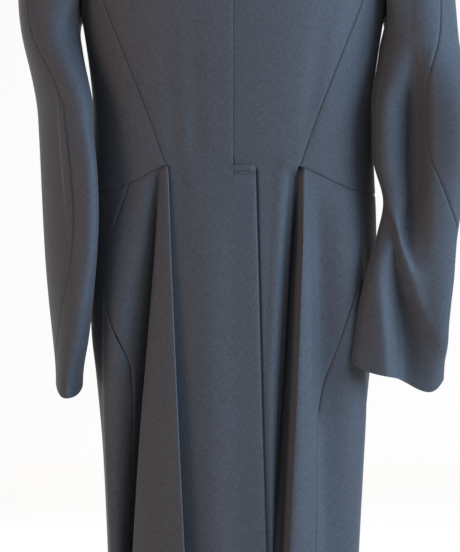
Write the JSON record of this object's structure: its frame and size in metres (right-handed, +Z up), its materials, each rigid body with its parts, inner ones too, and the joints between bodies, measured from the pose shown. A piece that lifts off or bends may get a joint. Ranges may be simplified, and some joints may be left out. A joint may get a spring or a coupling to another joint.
{
  "type": "double-breasted jacket",
  "caption": "Long fitted double-breasted wool jacket, filled out and hollow, with back princess seams, pleats in the skirt, two-piece sleeves and a turned-down collar.",
  "frame": {"origin": "middle of the neck opening, level with the tops of the shoulder seams", "axes": "+Z up, -Y towards the front of the garment, +X towards the wearer's left"},
  "size_m": [0.5065, 0.2681, 0.9132],
  "materials": {
    "navy_wool": "matte fine wool with a soft nap",
    "dark_button": "satin"
  },
  "bodies": {
    "root": {"back_left": "navy_wool", "back_right": "navy_wool", "side_back_left": "navy_wool", "side_back_right": "navy_wool", "pleat_left": "navy_wool", "pleat_right": "navy_wool", "skirt_side_left": "navy_wool", "skirt_side_right": "navy_wool", "side_front_left": "navy_wool", "side_front_right": "navy_wool", "front_left": "navy_wool", "front_right": "navy_wool", "lapel_left": "navy_wool", "lapel_right": "navy_wool", "collar": "navy_wool", "sleeve_top_left": "navy_wool", "sleeve_top_right": "navy_wool", "sleeve_under_left": "navy_wool", "sleeve_under_right": "navy_wool", "button_01": "dark_button", "button_02": "dark_button", "button_03": "dark_button", "button_04": "dark_button", "button_05": "dark_button", "button_06": "dark_button"}
  },
  "joints": []
}
